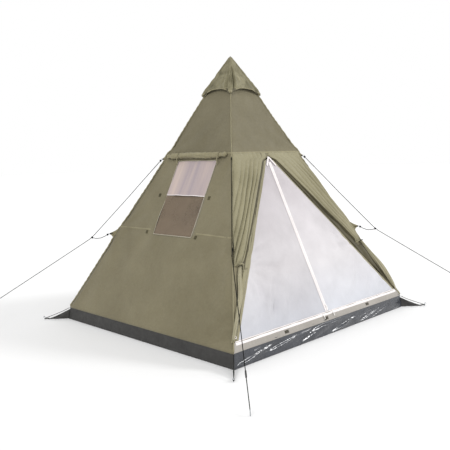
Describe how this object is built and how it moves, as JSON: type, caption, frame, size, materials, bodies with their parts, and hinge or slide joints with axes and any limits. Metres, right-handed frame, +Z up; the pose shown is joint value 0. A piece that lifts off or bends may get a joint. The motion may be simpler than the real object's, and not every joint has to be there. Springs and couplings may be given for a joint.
{
  "type": "teepee tent",
  "caption": "Square pyramid tent on a bathtub groundsheet with a centre pole, netted triangular door, net window, vented roof cap and guy lines at the hips.",
  "frame": {"origin": "middle of the tent's footprint, on the ground under the groundsheet", "axes": "+Z up the centre pole, the door face looks along -Y, the window face looks along -X"},
  "size_m": [3.9156, 3.658, 2.5],
  "materials": {
    "canopy_cloth": "woven polyester, olive khaki, slight sheen",
    "flap_cloth": "woven polyester, olive khaki, gathered",
    "sill_cloth": "beige woven polyester",
    "groundsheet": "dark grey coated polyethylene, shiny",
    "door_net": "white fine insect net",
    "window_net": "grey-brown fine insect net",
    "curtain": "thin off-white cloth",
    "zip_tape": "white zip tape",
    "zip_metal": "white painted slider",
    "webbing": "dark grey webbing",
    "cord": "braided dark grey cord",
    "plastic": "black moulded plastic",
    "steel": "galvanised steel"
  },
  "bodies": {
    "tent": {"floor_sheet": "groundsheet", "skirt_walls": "groundsheet", "floor_pole_patch": "groundsheet", "corner_gussets": "groundsheet", "corner_pegs": "steel", "corner_cord_near": "cord", "corner_cord_left": "cord", "corner_cord_right": "cord", "corner_cord_far": "cord", "canopy_front_upper": "canopy_cloth", "canopy_front_strips": "canopy_cloth", "canopy_left_upper": "canopy_cloth", "canopy_left_middle": "canopy_cloth", "canopy_left_lower": "canopy_cloth", "canopy_right": "canopy_cloth", "canopy_back": "canopy_cloth", "hip_seams": "flap_cloth", "roof_cap": "canopy_cloth", "vent_net": "window_net", "apex_patch": "webbing", "pole_lower": "steel", "pole_middle": "steel", "pole_upper": "steel", "pole_foot": "plastic", "pole_tip": "plastic", "door_sill": "sill_cloth", "hook_patches": "webbing", "bottom_zip": "zip_tape", "outer_flap_left": "flap_cloth", "outer_flap_right": "flap_cloth", "window_net": "window_net", "window_curtain": "curtain", "window_flap_roll": "canopy_cloth", "roll_ties": "webbing", "guy_tabs": "canopy_cloth", "tab_loops": "cord", "guy_line_near": "cord", "guy_line_left": "cord", "guy_line_right": "cord", "guy_line_far": "cord", "guy_branch_near": "cord", "guy_branch_left": "cord", "guy_branch_right": "cord", "guy_branch_far": "cord", "guy_pegs": "steel"},
    "net_leaf_left": {"net_door_left": "door_net", "zip_tape_left": "zip_tape"},
    "net_leaf_right": {"net_door_right": "door_net", "zip_tape_right": "zip_tape"},
    "centre_zip_slider": {"centre_zip_slider": "zip_metal"},
    "centre_zip_pull": {"centre_zip_pull": "zip_metal"},
    "left_zip_slider": {"left_zip_slider": "zip_metal"},
    "left_zip_pull": {"left_zip_pull": "zip_metal"},
    "right_zip_slider": {"right_zip_slider": "zip_metal"},
    "right_zip_pull": {"right_zip_pull": "zip_metal"},
    "tensioner_near": {"tensioner_near": "plastic"},
    "tensioner_left": {"tensioner_left": "plastic"},
    "tensioner_right": {"tensioner_right": "plastic"},
    "tensioner_far": {"tensioner_far": "plastic"}
  },
  "joints": [
    {"name": "net_leaf_left_swing", "type": "hinge", "parent": "tent", "child": "net_leaf_left", "pos_m": [-1.14128, -1.08847, 0.191], "axis": [0.5938, 0.3488, 0.7251], "range_deg": [0, 90]},
    {"name": "net_leaf_right_swing", "type": "hinge", "parent": "tent", "child": "net_leaf_right", "pos_m": [1.14128, -1.08847, 0.191], "axis": [0.5938, -0.3488, -0.7251], "range_deg": [0, 90]},
    {"name": "centre_zip_travel", "type": "slide", "parent": "net_leaf_right", "child": "centre_zip_slider", "axis": [0, 0.4334, 0.9012], "range_m": [0, 1.37]},
    {"name": "centre_pull_swing", "type": "hinge", "parent": "centre_zip_slider", "child": "centre_zip_pull", "pos_m": [0.0085, -1.08194, 0.23207], "axis": [-1, 0, 0], "range_deg": [0, 110]},
    {"name": "left_zip_travel", "type": "slide", "parent": "tent", "child": "left_zip_slider", "axis": [-1, 0, 0], "range_m": [0, 1]},
    {"name": "left_pull_swing", "type": "hinge", "parent": "left_zip_slider", "child": "left_zip_pull", "pos_m": [-0.07, -1.11176, 0.17007], "axis": [-1, 0, 0], "range_deg": [0, 110]},
    {"name": "right_zip_travel", "type": "slide", "parent": "tent", "child": "right_zip_slider", "axis": [1, 0, 0], "range_m": [0, 1]},
    {"name": "right_pull_swing", "type": "hinge", "parent": "right_zip_slider", "child": "right_zip_pull", "pos_m": [0.07, -1.11176, 0.17007], "axis": [-1, 0, 0], "range_deg": [0, 110]},
    {"name": "tensioner_near_travel", "type": "slide", "parent": "tent", "child": "tensioner_near", "axis": [0.5288, 0.6089, 0.5913], "range_m": [-0.15, 0.3]},
    {"name": "tensioner_left_travel", "type": "slide", "parent": "tent", "child": "tensioner_left", "axis": [0.6213, -0.5804, 0.5264], "range_m": [-0.15, 0.3]},
    {"name": "tensioner_right_travel", "type": "slide", "parent": "tent", "child": "tensioner_right", "axis": [-0.6213, 0.5804, 0.5264], "range_m": [-0.15, 0.3]},
    {"name": "tensioner_far_travel", "type": "slide", "parent": "tent", "child": "tensioner_far", "axis": [-0.6213, -0.5804, 0.5264], "range_m": [-0.15, 0.3]}
  ]
}
